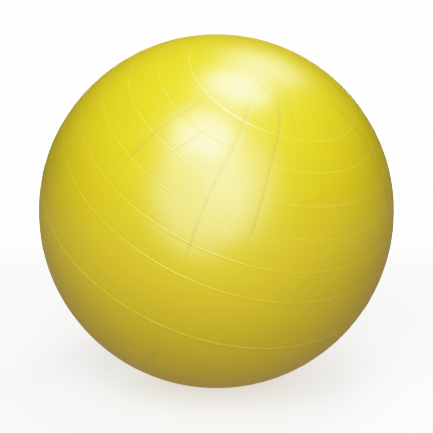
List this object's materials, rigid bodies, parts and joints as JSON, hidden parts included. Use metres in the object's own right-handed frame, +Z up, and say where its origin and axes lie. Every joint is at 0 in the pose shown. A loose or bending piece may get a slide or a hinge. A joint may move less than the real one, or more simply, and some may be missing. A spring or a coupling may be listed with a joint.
{
  "type": "exercise ball",
  "caption": "Air-filled round exercise ball of soft yellow vinyl with raised grip rings, a moulded valve seat and a pull-out valve plug.",
  "frame": {"origin": "centre of the flat where the ball rests on the floor", "axes": "+Z up; -Y the front; the rings' axis leans 37 degrees from +Z towards the front right"},
  "size_m": [0.4504, 0.45, 0.4475],
  "materials": {
    "skin": "satin-gloss soft vinyl",
    "valve_vinyl": "satin moulded vinyl",
    "plug": "satin soft polyethylene"
  },
  "bodies": {
    "ball": {"ball_shell": "skin", "valve_seat": "valve_vinyl"},
    "plug": {"valve_plug": "plug"}
  },
  "joints": [
    {"name": "plug_pull", "type": "slide", "parent": "ball", "child": "plug", "axis": [-0.3278, 0.5047, -0.7986], "range_m": [0, 0.028]}
  ]
}
